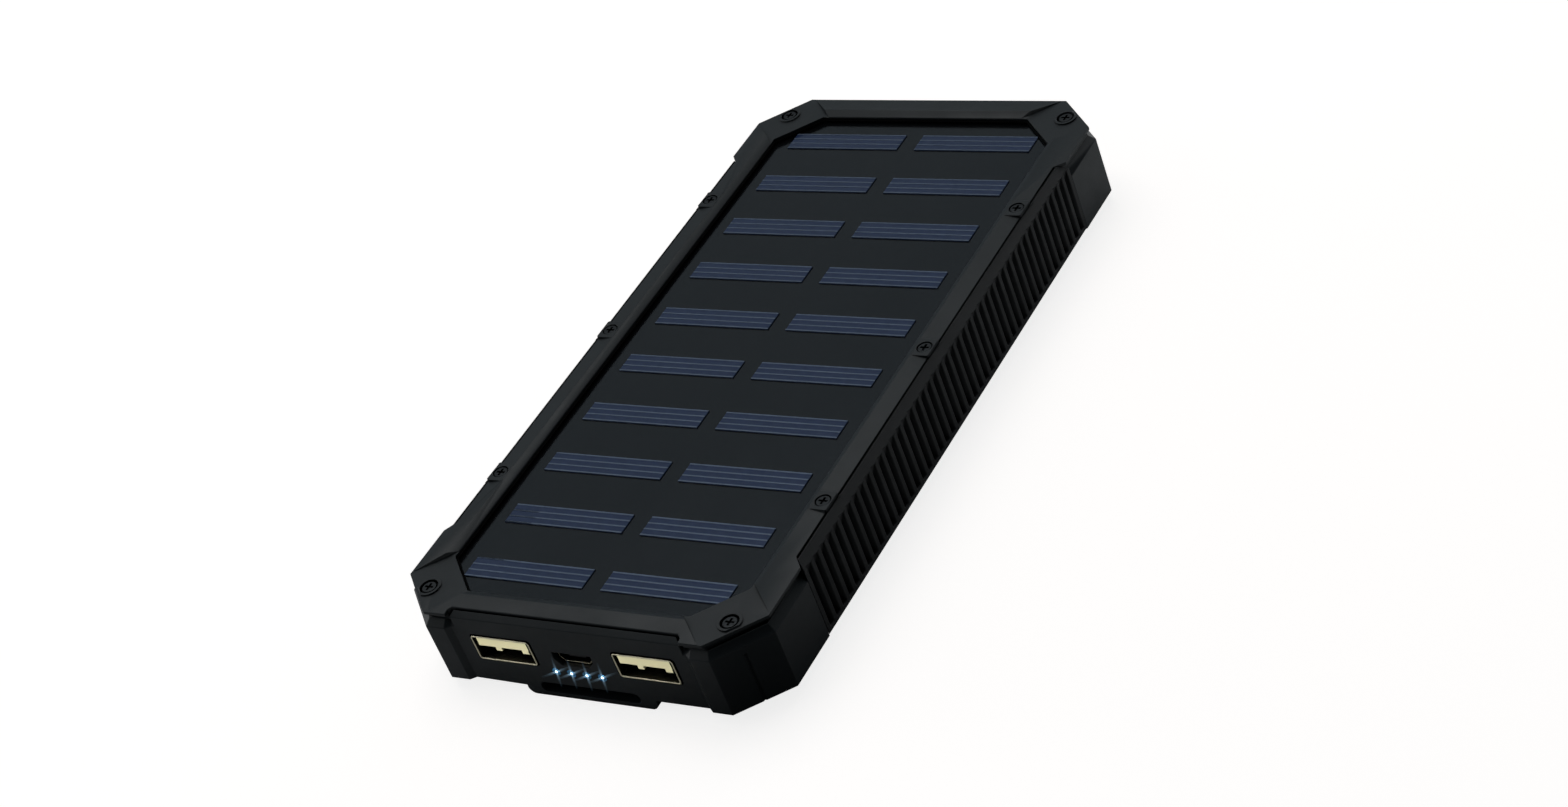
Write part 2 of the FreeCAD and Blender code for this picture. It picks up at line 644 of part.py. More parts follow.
def lamp_spots():
    out = []
    for i in range(LAMP_COLS):
        for j in range(LAMP_ROWS):
            out.append(((i - (LAMP_COLS - 1) / 2) * 12.0, LAMP_Y + (j - (LAMP_ROWS - 1) / 2) * 15.0))
    return out


def lamp_lens():
    return join([lamp_block(-0.15, 0.5, 1.75), lamp_block(1.8, 1.7, 2.6)])


def lamp_reflector():
    tray = lamp_block(1.8, 2.6, FLOOR_TOP - 0.02)
    tools = [Part.makeCone(4.4, 2.6, FLOOR_TOP - 2.6, V(x, y, 2.6), V(0, 0, 1)) for x, y in lamp_spots()]
    return cut(tray, tools)


def lamp_board():
    hx, hy = LAMP_BOARD
    plate = box(-hx, hx, LAMP_Y - hy, LAMP_Y + hy, FLOOR_TOP, FLOOR_TOP + 1.0)
    tongue = box(-6, 6, -52.2, LAMP_Y - hy + 1, FLOOR_TOP, FLOOR_TOP + 1.0)
    return cut(join([plate, tongue]), [rod(x, y, FLOOR_TOP - 1, FLOOR_TOP + 2, 0.85) for x, y in LAMP_SCREWS])


# ---------------------------------------------------------------- small parts on the main board
POWER_CHIPS = ((-9.5, -60.5, 5.0, 4.0), (19.0, -61.0, 4.0, 5.0), (-18.5, -61.0, 4.0, 4.0))
CAPS = ((-23.5, -62.6, 2.0, 5.4), (13.9, -58.0, 1.6, 5.4), (24.3, -63.4, 1.5, 4.5))
INDUCTOR = (9.0, -61.0)


def chips():
    bodies = []
    legs = []
    for x, y, w, d in POWER_CHIPS:
        bodies.append(box(x - w / 2, x + w / 2, y - d / 2, y + d / 2, BOARD_TOP + 0.15, BOARD_TOP + 1.4))
        for s in (-1, 1):
            for k in range(4):
                px = x + (k - 1.5) * w / 4.5
                ys = sorted((y + s * d / 2, y + s * (d / 2 + 0.9)))
                legs.append(box(px - 0.2, px + 0.2, ys[0], ys[1], BOARD_TOP, BOARD_TOP + 0.3))
    return bodies, legs


def passives():
    out = []
    for i in range(6):
        out.append(box(-6.0 + i * 1.9, -5.0 + i * 1.9, -71.5, -69.9, BOARD_TOP, BOARD_TOP + 0.6))
    for i in range(4):
        out.append(box(29.0, 30.6, -70.0 + i * 2.2, -69.2 + i * 2.2, BOARD_TOP, BOARD_TOP + 0.6))
    return out


def capacitor(x, y, r, h):
    base = box(x - r - 0.1, x + r + 0.1, y - r - 0.1, y + r + 0.1, BOARD_TOP, BOARD_TOP + 0.7)
    return join([base, rod(x, y, BOARD_TOP + 0.6, BOARD_TOP + h, r)])


# ---------------------------------------------------------------- write every node
save("back_cover", back_cover())
save("top_frame", top_frame())

grip = side_grip()
save("side_grip_right", grip)
save("side_grip_left", grip.mirror(V(0, 0, 0), V(1, 0, 0)))

heads = [screw(x, y, top - SEAT, 9.0, SHANK_R, HEAD_R, HEAD_H) for x, y, top in screw_spots()]
save("case_screws", group(heads))

cord = prism(octagon(CAVITY_W / 2 + 0.7, CAVITY_L / 2 + 0.7, CAVITY_SUM + 1.0), RIM - 0.8, RIM)
save("case_gasket", cord.cut(prism(octagon(CAVITY_W / 2 + 0.2, CAVITY_L / 2 + 0.2, CAVITY_SUM + 0.3), 0, 20)))

panel_layers()
save("panel_foam_pad", box(-30, 30, CELL_Y[0] + 14, CELL_Y[1] - 4, CELL_Z + CELL_T, RIM))

save("battery_cell_left", cell(-1))
save("battery_cell_right", cell(1))
save("cell_tabs", group(tabs()))
save("cell_tape", box(-12, 12, CELL_Y[0] + 3, CELL_Y[0] + 13, CELL_Z + CELL_T, CELL_Z + CELL_T + 0.1))
save("cell_foam_pad", box(-29, 29, CELL_Y[0] + 10, CELL_Y[1] - 14, FLOOR_TOP + 1.0, CELL_Z))
save("protection_board", box(-29.5, 29.5, CELL_Y[0] - 4.4, CELL_Y[0] - 0.6, GUARD_Z, GUARD_Z + 0.8))
save("protection_chips", group([box(x - 1.5, x + 1.5, CELL_Y[0] - 3.5, CELL_Y[0] - 1.5, GUARD_Z + 0.8, GUARD_Z + 1.8)
                                for x in (-14.0, -8.0, 14.0)]))

save("main_board", main_board())
save("board_screws", group([screw(x, y, BOARD_TOP, 4.0, 0.8, 1.6, 0.9) for x, y in BOARD_SCREWS]))
for name, x in (("left", -USB_X), ("right", USB_X)):
    save("usb_shell_" + name, usb_shell(x))
save("usb_inserts", group([usb_insert(x) for x in (-USB_X, USB_X)]))
save("usb_contacts", group(usb_contacts(-USB_X) + usb_contacts(USB_X)))
save("micro_usb_shell", micro_shell())
save("micro_usb_insert", micro_insert())
low = MICRO_Z - 0.3
save("micro_usb_contacts", group([box(MICRO_X + k * 0.65 - 0.15, MICRO_X + k * 0.65 + 0.15, MICRO_FRONT + 0.8,
                                      MICRO_FRONT + 3.8, low - 0.1, low) for k in range(-2, 3)]))

pins = [Part.makeCylinder(0.9, WALL + 0.1, V(x, PORT_Y, LED_Z), V(0, 1, 0)) for x in led_xs()]
bar = box(LED_X - 6.4, LED_X + 6.4, PORT_Y + WALL, PORT_Y + WALL + 1.2, LED_Z - 0.9, BOARD_Z - 0.1)
save("indicator_light_guide", join([bar] + pins))
save("indicator_leds", group([box(x - 0.8, x + 0.8, PORT_Y + WALL + 1.3, PORT_Y + WALL + 2.3, BOARD_Z - 0.9, BOARD_Z)
                              for x in led_xs()]))

save("power_button", power_button())
save("switch_plunger", switch_plunger())
save("switch_body", switch_body())

ix, iy = INDUCTOR
drum = [rod(ix, iy, BOARD_TOP, BOARD_TOP + 0.8, 3.4), rod(ix, iy, BOARD_TOP + 0.7, BOARD_TOP + 3.9, 1.6),
        rod(ix, iy, BOARD_TOP + 3.8, BOARD_TOP + 4.6, 3.4)]
save("inductor_core", join(drum))
save("inductor_coil", rod(ix, iy, BOARD_TOP + 0.8, BOARD_TOP + 3.8, 3.1).cut(rod(ix, iy, 0, 20, 1.6)))
bodies, legs = chips()
save("power_chips", group(bodies))
save("chip_legs", group(legs))
save("capacitors", group([capacitor(*c) for c in CAPS]))
save("chip_passives", group(passives()))

save("lamp_lens", lamp_lens())
save("lamp_reflector", lamp_reflector())
save("lamp_board", lamp_board())
save("lamp_leds", group([box(x - 1.75, x + 1.75, y - 1.4, y + 1.4, FLOOR_TOP - 0.7, FLOOR_TOP)
                         for x, y in lamp_spots()]))
save("lamp_board_screws", group([screw(x, y, FLOOR_TOP + 1.0, 3.0, 0.6, 1.1, 0.45) for x, y in LAMP_SCREWS]))

# leads: pack to main board, panel to main board, lamp board to main board
guard_top = GUARD_Z + 0.8
for name, x, end in (("red", -3.0, -4.2), ("black", 3.0, 1.8)):
    save("battery_lead_" + name, lead([(x, -52.2, guard_top), (x, -53.8, guard_top + 1.8),
                                       (end, -56.9, guard_top + 0.2), (end, -57.6, BOARD_TOP)], 0.65, -1))
for name, x in (("red", -13.6), ("black", -15.2)):
    save("panel_lead_" + name, lead([(x, -57.0, BOARD_TOP), (x - 0.3, -57.5, 11.0),
                                     (x - 0.3, -57.7, 14.0), (x, -57.2, RIM)], 0.4, 1))
for name, x in (("red", -3.0), ("black", 3.0)):
    save("lamp_lead_" + name, lead([(x, -51.2, FLOOR_TOP + 1.0), (x, -52.2, FLOOR_TOP + 1.75),
                                    (x, -56.6, FLOOR_TOP + 1.6), (x, -57.4, BOARD_Z)], 0.45, 1))
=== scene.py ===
import json
import math

import bmesh
import bpy
from mathutils import Matrix, Vector

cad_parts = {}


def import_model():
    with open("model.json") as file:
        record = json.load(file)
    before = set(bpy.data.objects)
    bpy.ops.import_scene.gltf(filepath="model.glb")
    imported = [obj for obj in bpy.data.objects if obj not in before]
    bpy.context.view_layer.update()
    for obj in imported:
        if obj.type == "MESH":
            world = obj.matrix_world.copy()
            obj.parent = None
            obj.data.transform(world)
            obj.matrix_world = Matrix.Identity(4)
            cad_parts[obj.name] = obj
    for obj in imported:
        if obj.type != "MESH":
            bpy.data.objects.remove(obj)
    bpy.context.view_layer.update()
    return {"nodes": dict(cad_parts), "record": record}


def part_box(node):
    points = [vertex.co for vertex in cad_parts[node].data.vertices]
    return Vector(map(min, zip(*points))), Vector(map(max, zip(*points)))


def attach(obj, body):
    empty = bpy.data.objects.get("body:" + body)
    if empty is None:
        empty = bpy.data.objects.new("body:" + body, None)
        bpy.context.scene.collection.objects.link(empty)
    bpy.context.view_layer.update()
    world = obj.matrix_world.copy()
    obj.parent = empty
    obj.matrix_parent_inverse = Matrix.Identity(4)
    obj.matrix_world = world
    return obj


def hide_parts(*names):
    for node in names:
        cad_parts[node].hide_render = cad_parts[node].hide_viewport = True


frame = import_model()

MM = 0.001
NODES = frame["nodes"]
SLOTS = {part["node"]: part["material_slot"] for part in frame["record"]["subparts"]}
BODIES = {node: body for body, nodes in frame["record"]["behaviour"]["bodies"].items() for node in nodes}

PANEL = ("solar_laminate", "cell_gridlines", "solar_cells", "solar_board", "panel_adhesive")
SOCKETS = ("usb_shell_left", "usb_shell_right", "usb_inserts", "micro_usb_shell")


# ---------------------------------------------------------------- node helpers
# A Mix node has several sockets of each name, so its colour sockets go by number.
MIX_FACTOR, MIX_A, MIX_B, MIX_RESULT = 0, 6, 7, 2
WHITE = (1.0, 1.0, 1.0)
# Painted shade: colours and specular level that stand in for the shade in grooves and hollows.
PAINTED_SHADE_PLASTIC = (0.001, 0.001, 0.001)
PAINTED_SHADE_METAL = (0.002, 0.002, 0.002)
PAINTED_SHADE_SPECULAR = 0.02


class Tree:
    """Short calls for a node tree. Most return a wire, which is a node and one of its outputs."""

    def __init__(self, tree):
        self.tree = tree

    def add(self, kind, inputs=None, **settings):
        """New node with its settings, and its inputs fed by name or number."""
        node = self.tree.nodes.new(kind)
        for key, value in settings.items():
            setattr(node, key, value)
        for socket, value in (inputs or {}).items():
            self.feed(node, socket, value)
        return node

    def feed(self, node, socket, value):
        """Links an input to a wire, or sets it to a number, a vector or a colour."""
        target = node.inputs[socket]
        if isinstance(value, tuple) and isinstance(value[0], bpy.types.Node):
            source, out = value
            self.tree.links.new(source.outputs[out], target)
        elif target.type == "RGBA":
            target.default_value = (*value, 1.0)
        else:
            target.default_value = value

    def ramp(self, wire, low, high, to_low=0.0, to_high=1.0, curve="LINEAR"):
        """Maps the span low to high onto to_low to to_high, and holds past both ends."""
        inputs = {"Value": wire, "From Min": low, "From Max": high, "To Min": to_low, "To Max": to_high}
        return self.add("ShaderNodeMapRange", inputs, interpolation_type=curve), "Result"

    def mix(self, factor, first, second):
        """Colour between two colours or wires: the first at factor 0, the second at 1."""
        inputs = {MIX_FACTOR: factor, MIX_A: first, MIX_B: second}
        return self.add("ShaderNodeMix", inputs, data_type="RGBA"), MIX_RESULT

    def maths(self, operation, first, second=0.0):
        """One arithmetic operation on numbers or wires."""
        return self.add("ShaderNodeMath", {0: first, 1: second}, operation=operation), "Value"

    def seen(self):
        """1 for what the camera sees, 0 for what lights the object or is mirrored in it."""
        return self.add("ShaderNodeLightPath"), "Is Camera Ray"


class Shader(Tree):
    """One procedural material on a Principled surface. Textures lie in object space."""

    def __init__(self, name, **surface):
        self.material = bpy.data.materials.new(name)
        self.material.use_nodes = True
        super().__init__(self.material.node_tree)
        self.tree.nodes.clear()
        self.surface = self.add("ShaderNodeBsdfPrincipled")
        self.add("ShaderNodeOutputMaterial", {"Surface": (self.surface, "BSDF")})
        self.place = (self.add("ShaderNodeTexCoord"), "Object")
        self.set(**surface)

    def set(self, **values):
        """Feeds the surface's inputs; an underscore in a name stands for a space."""
        for name, value in values.items():
            self.feed(self.surface, name.replace("_", " "), value)

    def millimetres(self, stretch):
        """Texture space in millimetres, stretched along the axes."""
        scale = [factor / MM for factor in stretch]
        return self.add("ShaderNodeMapping", {"Vector": self.place, "Scale": scale}), "Vector"

    def noise(self, scale, detail=3.0, rough=0.5, stretch=(1, 1, 1)):
        """Noise; scale is features per millimetre."""
        inputs = {"Vector": self.millimetres(stretch), "Scale": scale, "Detail": detail, "Roughness": rough}
        return self.add("ShaderNodeTexNoise", inputs), "Fac"

    def smear(self):
        """Slow wiped streaks of a clear sheet."""
        return self.noise(0.03, 6.0, 0.7, (1, 0.45, 1))

    def cells(self, scale, stretch=(1, 1, 1), feature="F1"):
        """Distance in a pattern of cells; scale is cells per millimetre."""
        inputs = {"Vector": self.millimetres(stretch), "Scale": scale}
        return self.add("ShaderNodeTexVoronoi", inputs, feature=feature), "Distance"

    def bump(self, wire, depth_mm, under=None):
        """Surface relief, on top of the normal under it."""
        inputs = {"Height": wire, "Distance": depth_mm * MM, "Strength": 1.0}
        if under is not None:
            inputs["Normal"] = under
        return self.add("ShaderNodeBump", inputs), "Normal"

    def round_edges(self, radius_mm):
        """Normal softened at sharp edges."""
        return self.add("ShaderNodeBevel", {"Radius": radius_mm * MM}, samples=4), "Normal"

    def painted_shade_mask(self, reach_mm, low=0.25, high=0.8):
        """Painted-shade mask: 0 deep in grooves and hollows, where shade is painted in, 1 on open faces."""
        node = self.add("ShaderNodeAmbientOcclusion", {"Distance": reach_mm * MM}, samples=6)
        return self.ramp((node, "AO"), low, high)

    def finish(self, colour, rough=None, normal=None):
        for socket, wire in (("Base Color", colour), ("Roughness", rough), ("Normal", normal)):
            if wire is not None:
                self.feed(self.surface, socket, wire)
        return self.material


# ---------------------------------------------------------------- kinds of material
def moulded(name, dark, light, rough=(0.4, 0.55), grain=0.006, specular=0.35, edge=0.12,
            scale=2.2, shade_reach_mm=0.0):
    """Moulded plastic or rubber: fine grain, cloudy gloss, faint colour drift, and painted shade that
    darkens and dulls its hollows.
    """
    s = Shader(name, Specular_IOR_Level=specular)
    colour = s.mix(s.ramp(s.noise(0.045, 4.0, 0.6), 0.3, 0.7), dark, light)
    # painted shade: colour and gloss fade to near black in grooves, seams and rib valleys, where shadow
    # falls
    if shade_reach_mm:
        unshaded = s.painted_shade_mask(shade_reach_mm)
        s.set(Specular_IOR_Level=s.ramp(unshaded, 0.0, 1.0, PAINTED_SHADE_SPECULAR, specular))
        colour = s.mix(unshaded, PAINTED_SHADE_PLASTIC, colour)
    gloss = s.ramp(s.noise(0.12, 5.0, 0.65), 0.3, 0.72, *rough)
    pits = s.bump(s.cells(scale * 0.8), grain * 0.6, s.round_edges(edge))
    return s.finish(colour, gloss, s.bump(s.noise(scale, 5.0, 0.65), grain, pits))


def metal(name, dark, light, rough=(0.2, 0.35), stretch=(1, 1, 1), scale=1.5, depth=0.002, edge=0.06,
          shade_reach_mm=0.0):
    """Plated or rolled metal with fine drawn lines, finger-worn gloss and painted shade in its hollows."""
    s = Shader(name, Metallic=1.0)
    lines = s.noise(scale, 4.0, 0.6, stretch)
    colour = s.mix(s.ramp(lines, 0.3, 0.7), dark, light)
    # painted shade: the colour darkens in recesses such as socket interiors and around screw heads
    if shade_reach_mm:
        colour = s.mix(s.painted_shade_mask(shade_reach_mm, 0.62, 0.85), PAINTED_SHADE_METAL, colour)
    gloss = s.ramp(s.noise(0.6, 5.0, 0.7), 0.3, 0.7, *rough)
    return s.finish(colour, gloss, s.bump(lines, depth, s.round_edges(edge)))


def glowing(name, colour, strength):
    """Lit chip under a slightly uneven skin."""
    s = Shader(name, Roughness=0.3, Emission_Strength=strength)
    cloud = s.noise(1.4, 2.0)
    tone = s.mix(s.ramp(cloud, 0.3, 0.7), tuple(0.75 * part for part in colour), colour)
    s.set(Emission_Color=tone)
    return s.finish(tone, normal=s.bump(cloud, 0.01))


PIN_PITCH = 3.4 * MM
PIN_RADIUS = 0.9 * MM
PIN_HOT = 0.05 * MM        # the glow is full inside this radius
PIN_DIM = 0.30 * MM        # and almost gone here
PIN_BLUE = 0.45 * MM       # the colour has turned to the rim's here
PIN_LEFT = 0.03            # glow left at the rim


def light_guide(name, rim, core, strength):
    """Clear pins lit from behind: each end glows hot in its middle and falls off to a blue rim."""
    s = Shader(name, Roughness=0.25, Transmission_Weight=0.3)
    low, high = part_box("indicator_light_guide")
    middle = (low[0] + high[0]) / 2
    split = s.add("ShaderNodeSeparateXYZ", {"Vector": s.place})
    across = s.maths("SUBTRACT", (split, "X"), middle)
    # the pins stand half a pitch either side of the middle, so each fold ends on a pin's axis
    folded = s.maths("PINGPONG", across, PIN_PITCH / 2)
    aside = s.maths("SUBTRACT", folded, PIN_PITCH / 2)
    upward = s.maths("SUBTRACT", (split, "Z"), low[2] + PIN_RADIUS)
    squares = s.maths("ADD", s.maths("POWER", aside, 2.0), s.maths("POWER", upward, 2.0))
    radius = s.maths("SQRT", squares)
    colour = s.mix(s.ramp(radius, PIN_HOT, PIN_BLUE, 1.0, 0.0), rim, core)
    power = s.ramp(radius, PIN_HOT, PIN_DIM, strength, PIN_LEFT)
    s.set(Emission_Color=colour, Emission_Strength=power)
    return s.finish(colour, normal=s.bump(s.noise(1.4, 2.0), 0.01))


def clear(name, tint, rough, alpha):
    """Thin clear sheet, almost all see-through. The layers under it carry its sheen."""
    s = Shader(name, Specular_IOR_Level=0.0, Alpha=alpha)
    smear = s.smear()
    colour = s.mix(s.ramp(smear, 0.25, 0.8), tint, tuple(1.1 * part for part in tint))
    gloss = s.ramp(smear, 0.3, 0.75, *rough)
    return s.finish(colour, gloss, s.bump(s.noise(0.5, 3.0), 0.0001))


def under_sheet(name, pattern, dark, light):
    """Layer flat against the clear sheet's underside, with the sheet's own gloss."""
    s = Shader(name, Specular_IOR_Level=0.72, Specular_Tint=(0.88, 0.945, 1.0))
    colour = s.mix(pattern(s), dark, light)
    return s.finish(colour, s.ramp(s.smear(), 0.3, 0.75, 0.12, 0.20))


def crystals(s):
    """Faint crystal patches of a silicon cell."""
    return s.ramp(s.cells(0.55, (1, 2.2, 1)), 0.0, 0.8)


def clouds(s):
    return s.ramp(s.noise(0.045, 4.0, 0.6), 0.3, 0.7)


def circuit(name, base, trace):
    """Solder-masked board with faint copper runs under the lacquer."""
    s = Shader(name, Specular_IOR_Level=0.5)
    run = s.ramp(s.cells(0.35, feature="DISTANCE_TO_EDGE"), 0.02, 0.09, 1.0, 0.0)
    gloss = s.ramp(s.noise(0.5, 4.0), 0.3, 0.7, 0.22, 0.4)
    return s.finish(s.mix(run, base, trace), gloss, s.bump(run, 0.03, s.round_edges(0.08)))


def foam(name, dark, light):
    """Open foam with dull pores."""
    s = Shader(name, Specular_IOR_Level=0.15)
    pores = s.cells(2.5)
    colour = s.mix(s.ramp(pores, 0.1, 0.6), dark, light)
    return s.finish(colour, s.ramp(pores, 0.0, 0.7, 0.8, 0.98), s.bump(pores, 0.12, s.round_edges(0.3)))


# ---------------------------------------------------------------- materials, by the record's slots
# shade_reach_mm sets how far the painted shade in grooves and hollows reaches, in millimetres.
RECIPES = {
    "case_plastic": (moulded, dict(dark=(0.010, 0.013, 0.0145), light=(0.014, 0.018, 0.020),
                                   rough=(0.36, 0.50), shade_reach_mm=2.0)),
    "grip_rubber": (moulded, dict(dark=(0.0070, 0.0075, 0.0080), light=(0.0110, 0.0115, 0.0120),
                                  rough=(0.50, 0.66), grain=0.010, edge=0.1, scale=3.5, shade_reach_mm=1.5)),
    "black_screw": (metal, dict(dark=(0.026, 0.028, 0.030), light=(0.046, 0.049, 0.051),
                                rough=(0.38, 0.55), scale=2.5, depth=0.004, shade_reach_mm=1.2)),
    "seal_rubber": (moulded, dict(dark=(0.02, 0.02, 0.02), light=(0.03, 0.03, 0.03),
                                  rough=(0.7, 0.85), grain=0.01)),
    "clear_laminate": (clear, dict(tint=(0.003, 0.0035, 0.0045), rough=(0.10, 0.18), alpha=0.04)),
    "silver_line": (metal, dict(dark=(0.118, 0.152, 0.215), light=(0.157, 0.197, 0.269),
                                rough=(0.4, 0.55), stretch=(1, 8, 1), scale=1.0, depth=0.0003)),
    "solar_silicon": (under_sheet, dict(pattern=crystals, dark=(0.024, 0.041, 0.106),
                                        light=(0.031, 0.052, 0.130))),
    "black_board": (under_sheet, dict(pattern=clouds, dark=(0.0016, 0.0020, 0.0026),
                                      light=(0.0026, 0.0030, 0.0037))),
    "adhesive": (moulded, dict(dark=(0.002, 0.002, 0.002), light=(0.004, 0.004, 0.004),
                               rough=(0.8, 0.9), grain=0.004, specular=0.05)),
    "foam": (foam, dict(dark=(0.03, 0.03, 0.032), light=(0.08, 0.08, 0.085))),
    "pouch_foil": (metal, dict(dark=(0.48, 0.49, 0.51), light=(0.66, 0.67, 0.69),
                               rough=(0.3, 0.48), scale=0.25, depth=0.06, edge=0.4)),
    "nickel": (metal, dict(dark=(0.50, 0.48, 0.44), light=(0.64, 0.62, 0.57),
                           rough=(0.25, 0.42), stretch=(1, 6, 1))),
    "amber_tape": (moulded, dict(dark=(0.42, 0.18, 0.02), light=(0.55, 0.25, 0.03),
                                 rough=(0.2, 0.32), grain=0.004)),
    "circuit_board": (circuit, dict(base=(0.008, 0.055, 0.026), trace=(0.020, 0.110, 0.050))),
    "chip_black": (moulded, dict(dark=(0.012, 0.012, 0.013), light=(0.022, 0.022, 0.024),
                                 rough=(0.45, 0.6), grain=0.008)),
    "bright_screw": (metal, dict(dark=(0.50, 0.50, 0.50), light=(0.68, 0.68, 0.67), rough=(0.22, 0.38))),
    "socket_steel": (metal, dict(dark=(0.52, 0.48, 0.34), light=(0.66, 0.61, 0.45), rough=(0.32, 0.45),
                                 stretch=(1, 5, 1), scale=1.2, depth=0.0005, edge=0.12, shade_reach_mm=5.0)),
    "cream_plastic": (moulded, dict(dark=(0.66, 0.60, 0.34), light=(0.76, 0.71, 0.44), rough=(0.3, 0.42),
                                    grain=0.002, specular=0.5, edge=0.08, shade_reach_mm=2.5)),
    "gold_contact": (metal, dict(dark=(0.72, 0.50, 0.18), light=(0.86, 0.64, 0.26), rough=(0.15, 0.3))),
    "dark_insert": (moulded, dict(dark=(0.02, 0.02, 0.021), light=(0.03, 0.03, 0.032), grain=0.004)),
    "clear_plastic": (light_guide, dict(rim=(0.10, 0.34, 0.55), core=(0.55, 0.80, 1.0), strength=16.0)),
    "blue_led": (glowing, dict(colour=(0.70, 0.88, 1.0), strength=4.0)),
    "button_plastic": (moulded, dict(dark=(0.016, 0.018, 0.020), light=(0.024, 0.026, 0.028),
                                     rough=(0.32, 0.45), grain=0.004)),
    "ferrite": (moulded, dict(dark=(0.03, 0.03, 0.032), light=(0.05, 0.05, 0.052),
                              rough=(0.5, 0.7), grain=0.02, specular=0.4)),
    "copper": (metal, dict(dark=(0.55, 0.20, 0.07), light=(0.75, 0.32, 0.13),
                           rough=(0.22, 0.36), stretch=(1, 1, 9), scale=1.2, depth=0.03)),
    "can_aluminium": (metal, dict(dark=(0.56, 0.57, 0.59), light=(0.72, 0.73, 0.75), rough=(0.25, 0.4))),
    "ceramic_chip": (moulded, dict(dark=(0.22, 0.15, 0.09), light=(0.34, 0.24, 0.15), rough=(0.3, 0.45))),
    "frosted_plastic": (moulded, dict(dark=(0.66, 0.68, 0.68), light=(0.74, 0.76, 0.76), rough=(0.32, 0.45),
                                      grain=0.010, specular=0.5, edge=0.2, scale=1.2)),
    "white_plastic": (moulded, dict(dark=(0.70, 0.70, 0.68), light=(0.80, 0.80, 0.78), rough=(0.35, 0.5))),
    "white_board": (circuit, dict(base=(0.60, 0.60, 0.58), trace=(0.50, 0.50, 0.46))),
    "lamp_phosphor": (moulded, dict(dark=(0.75, 0.60, 0.10), light=(0.85, 0.70, 0.16), rough=(0.3, 0.4))),
    "red_sleeve": (moulded, dict(dark=(0.42, 0.012, 0.010), light=(0.55, 0.020, 0.016), rough=(0.35, 0.5))),
    "black_sleeve": (moulded, dict(dark=(0.012, 0.012, 0.012), light=(0.020, 0.020, 0.020),
                                   rough=(0.35, 0.5))),
}
MATERIALS = {slot: kind(slot, **values) for slot, (kind, values) in RECIPES.items()}


# ---------------------------------------------------------------- pieces grown from CAD nodes
WELD = 0.003 * MM
FLAT = math.radians(0.8)          # faces nearer than this to one plane are merged
SHARP = math.radians(24)          # edges that fold more than this are rounded
SLIVER = math.radians(18)         # a face with a corner under this is too thin to round
SHORTEST = 0.6 * MM               # shorter edges stay sharp
SMOOTH = math.radians(40)


def tightest_corner(face):
    return min(loop.calc_angle() for loop in face.loops)


def can_round(edge):
    """Whether an edge folds sharply, is long and lies between two faces that aren't slivers."""
    if len(edge.link_faces) != 2 or edge.calc_length() < SHORTEST:
        return False
    if min(tightest_corner(face) for face in edge.link_faces) < SLIVER:
        return False
    return edge.calc_face_angle(0.0) > SHARP


def refined(node, name, width_mm, segments=3):
    """A piece grown from a CAD node: welded, flat areas merged, its long sharp edges truly rounded."""
    bm = bmesh.new()
    bm.from_mesh(NODES[node].data)
    bmesh.ops.remove_doubles(bm, verts=bm.verts, dist=WELD)
    bmesh.ops.dissolve_limit(bm, angle_limit=FLAT, verts=bm.verts, edges=bm.edges)
    bmesh.ops.bevel(bm, geom=[edge for edge in bm.edges if can_round(edge)], offset=width_mm * MM,
                    offset_type="OFFSET", segments=segments, profile=0.5, affect="EDGES",
                    clamp_overlap=False)
    bmesh.ops.recalc_face_normals(bm, faces=bm.faces)
    mesh = bpy.data.meshes.new(name)
    bm.to_mesh(mesh)
    bm.free()
    mesh.polygons.foreach_set("use_smooth", [True] * len(mesh.polygons))
    mesh.set_sharp_from_angle(angle=SMOOTH)
    mesh.materials.append(MATERIALS[SLOTS[node]])
    piece = bpy.data.objects.new(name, mesh)
    bpy.context.scene.collection.objects.link(piece)
    even = piece.modifiers.new("even_shading", "WEIGHTED_NORMAL")
    even.keep_sharp = True
    even.weight = 100
    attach(piece, BODIES[node])
    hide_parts(node)


for node, obj in NODES.items():
    obj.data.materials.clear()
    obj.data.materials.append(MATERIALS[SLOTS[node]])

refined("top_frame", "top_frame_shell", 0.16)
refined("back_cover", "back_cover_shell", 0.14)
refined("side_grip_left", "ribbed_grip_left", 0.18, segments=2)
refined("side_grip_right", "ribbed_grip_right", 0.18, segments=2)


# ---------------------------------------------------------------- stage, camera, light
CAMERA_SPOT = Vector((317.302, -370.813, 336.692)) * MM
CAMERA_HEADING = math.radians(40.644)     # turned left from looking along +Y
CAMERA_TILT = math.radians(55.654)        # 0 looks straight down, 90 level
CAMERA_ROLL = math.radians(-21.874)
CAMERA_LENS = 69.31                       # mm, on a sensor 36 mm wide
CAMERA_SIDE = (0.65, -0.76, 0.0)          # level direction from the object to the camera

ROOM_LIGHT = (0.25, 0.06)                 # behind the object, behind the camera
ROOM_SPAN = (-0.40, 0.25)                 # it falls between these cosines from CAMERA_SIDE
ROOM_TINT = (0.80, 0.92, 1.0)
FLOOR_SEEN = (0.50, 0.45, 0.42)
FLOOR_LIFT = 0.82                         # glow that whitens the floor for the camera only
FLOOR_LIGHT = (0.60, 1.00)                # near end, far end
FLOOR_SPAN = (-0.08, 0.10)                # along Y
NEAR_CORNER = (0.047, -0.087, 0.0)        # floor spot just outside the corner nearest the camera
CORNER_SPAN = (0.005, 0.045)              # distance from that spot
CORNER_LIGHT = 0.20                       # share of the floor's light left at that spot
CENTRE = (0, 0, 0)
PORT_END = (0, -0.08, 0.01)


